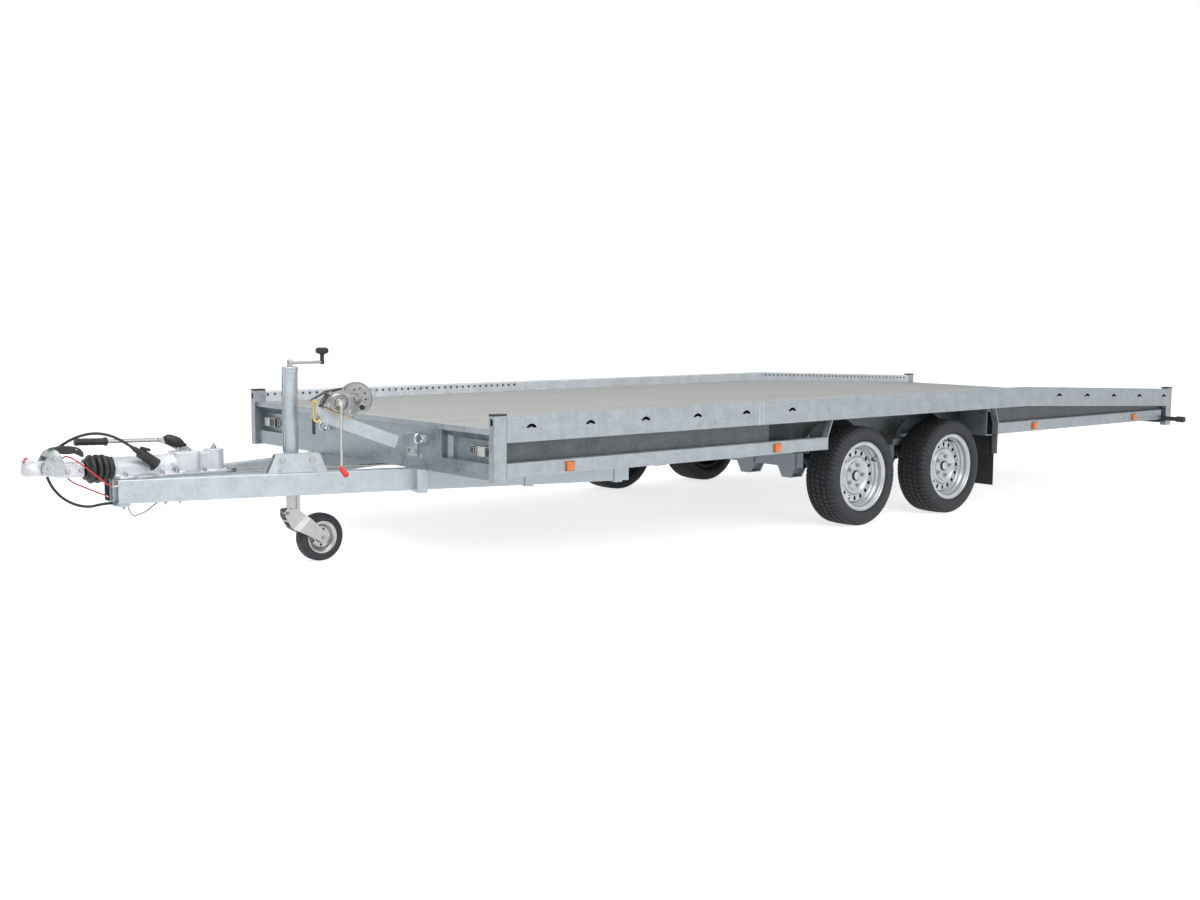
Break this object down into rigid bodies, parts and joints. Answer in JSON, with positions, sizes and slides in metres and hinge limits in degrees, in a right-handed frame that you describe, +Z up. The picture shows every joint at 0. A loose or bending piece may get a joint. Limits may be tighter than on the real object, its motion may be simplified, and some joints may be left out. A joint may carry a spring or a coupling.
{
  "type": "tandem-axle car transporter trailer",
  "caption": "Low flat car transporter trailer with a deck above tandem wheels, V drawbar, overrun coupling, jockey wheel, hand winch and stowed loading ramps.",
  "frame": {"origin": "on the ground under the middle of the whole trailer, coupling tip to rear posts", "axes": "+Z up, +Y towards the rear, +X towards the trailer's left side"},
  "size_m": [2.422, 7.085, 0.951],
  "materials": {
    "galvanised_steel": "hot-dip galvanised, satin with faint spangle",
    "web_sheet": "dark weathered galvanised sheet",
    "deck_panel": "grey resin-coated plywood, matte",
    "zinc_plated_steel": "bright zinc plated",
    "aluminium": "mill finish extrusion",
    "cast_silver": "cast, silver painted",
    "black_steel": "black chassis paint",
    "silver_rim": "silver wheel lacquer",
    "tyre": "road tyre rubber",
    "solid_rubber": "solid rubber",
    "black_rubber": "moulded rubber",
    "red_sheath": "red plastic sheath over wire rope",
    "webbing": "ribbed dark grey polyester webbing",
    "black_plastic": "moulded, fine grain",
    "amber_lens": "amber moulded lens",
    "clear_lens": "clear moulded lens",
    "red_lens": "red moulded lens"
  },
  "bodies": {
    "chassis": {"deck_front": "deck_panel", "deck_rear": "deck_panel", "side_rail_left_front": "galvanised_steel", "side_rail_right_front": "galvanised_steel", "side_rail_left_rear": "galvanised_steel", "side_rail_right_rear": "galvanised_steel", "lower_rails": "galvanised_steel", "side_webs": "web_sheet", "wheel_arches": "galvanised_steel", "corner_posts": "galvanised_steel", "front_panel": "galvanised_steel", "front_lamps": "clear_lens", "lashing_eyes": "zinc_plated_steel", "tail_beam": "galvanised_steel", "rear_lamps": "red_lens", "cross_members": "galvanised_steel", "ramps": "aluminium", "mudflaps": "black_rubber", "side_markers": "amber_lens", "outline_lamps": "black_rubber", "drawbar_left": "galvanised_steel", "drawbar_right": "galvanised_steel", "drawbar_clamps": "galvanised_steel", "coupling_housing": "cast_silver", "coupling_bellows": "black_rubber", "coupling_head": "cast_silver", "coupling_handle": "black_plastic", "handbrake_lever": "zinc_plated_steel", "jockey_clamp": "galvanised_steel", "jockey_tube": "galvanised_steel", "jockey_crank": "zinc_plated_steel", "winch_arm": "galvanised_steel", "winch_frame": "zinc_plated_steel", "winch_strap": "webbing", "winch_hook": "zinc_plated_steel", "axle_beams": "galvanised_steel", "axle_rails": "galvanised_steel", "swing_arms": "black_steel", "ramp_guides": "galvanised_steel", "brake_linkage": "zinc_plated_steel", "electric_cable": "black_rubber", "cable_plug": "black_plastic", "breakaway_cable": "red_sheath"},
    "wheel_front_left": {"rim_front_left": "silver_rim", "tyre_front_left": "tyre"},
    "wheel_front_right": {"rim_front_right": "silver_rim", "tyre_front_right": "tyre"},
    "wheel_rear_left": {"rim_rear_left": "silver_rim", "tyre_rear_left": "tyre"},
    "wheel_rear_right": {"rim_rear_right": "silver_rim", "tyre_rear_right": "tyre"},
    "jockey_caster": {"jockey_fork": "zinc_plated_steel"},
    "jockey_wheel": {"jockey_rim": "zinc_plated_steel", "jockey_tyre": "solid_rubber"},
    "winch_drum": {"winch_drum": "zinc_plated_steel"},
    "winch_crank": {"winch_crank": "zinc_plated_steel"}
  },
  "joints": [
    {"name": "wheel_front_left_roll", "type": "hinge", "parent": "chassis", "child": "wheel_front_left", "pos_m": [0.9525, 0.4275, 0.2625], "axis": [1, 0, 0], "continuous": true},
    {"name": "wheel_front_right_roll", "type": "hinge", "parent": "chassis", "child": "wheel_front_right", "pos_m": [-0.9525, 0.4275, 0.2625], "axis": [1, 0, 0], "continuous": true},
    {"name": "wheel_rear_left_roll", "type": "hinge", "parent": "chassis", "child": "wheel_rear_left", "pos_m": [0.9525, 1.1875, 0.2625], "axis": [1, 0, 0], "continuous": true},
    {"name": "wheel_rear_right_roll", "type": "hinge", "parent": "chassis", "child": "wheel_rear_right", "pos_m": [-0.9525, 1.1875, 0.2625], "axis": [1, 0, 0], "continuous": true},
    {"name": "jockey_swivel", "type": "hinge", "parent": "chassis", "child": "jockey_caster", "pos_m": [0.18, -2.4395, 0.3], "axis": [0, 0, 1], "continuous": true},
    {"name": "jockey_roll", "type": "hinge", "parent": "jockey_caster", "child": "jockey_wheel", "pos_m": [0.18, -2.3035, 0.1075], "axis": [1, 0, 0], "continuous": true},
    {"name": "winch_drum_turn", "type": "hinge", "parent": "chassis", "child": "winch_drum", "pos_m": [0.38479, -2.24221, 0.73637], "axis": [0.9659, -0.2588, 0], "continuous": true},
    {"name": "winch_crank_turn", "type": "hinge", "parent": "chassis", "child": "winch_crank", "pos_m": [0.36374, -2.32077, 0.7226], "axis": [0.9659, -0.2588, 0], "continuous": true}
  ],
  "couplings": [
    {"joint": "winch_crank_turn", "follows": "winch_drum_turn", "ratio": -4}
  ]
}
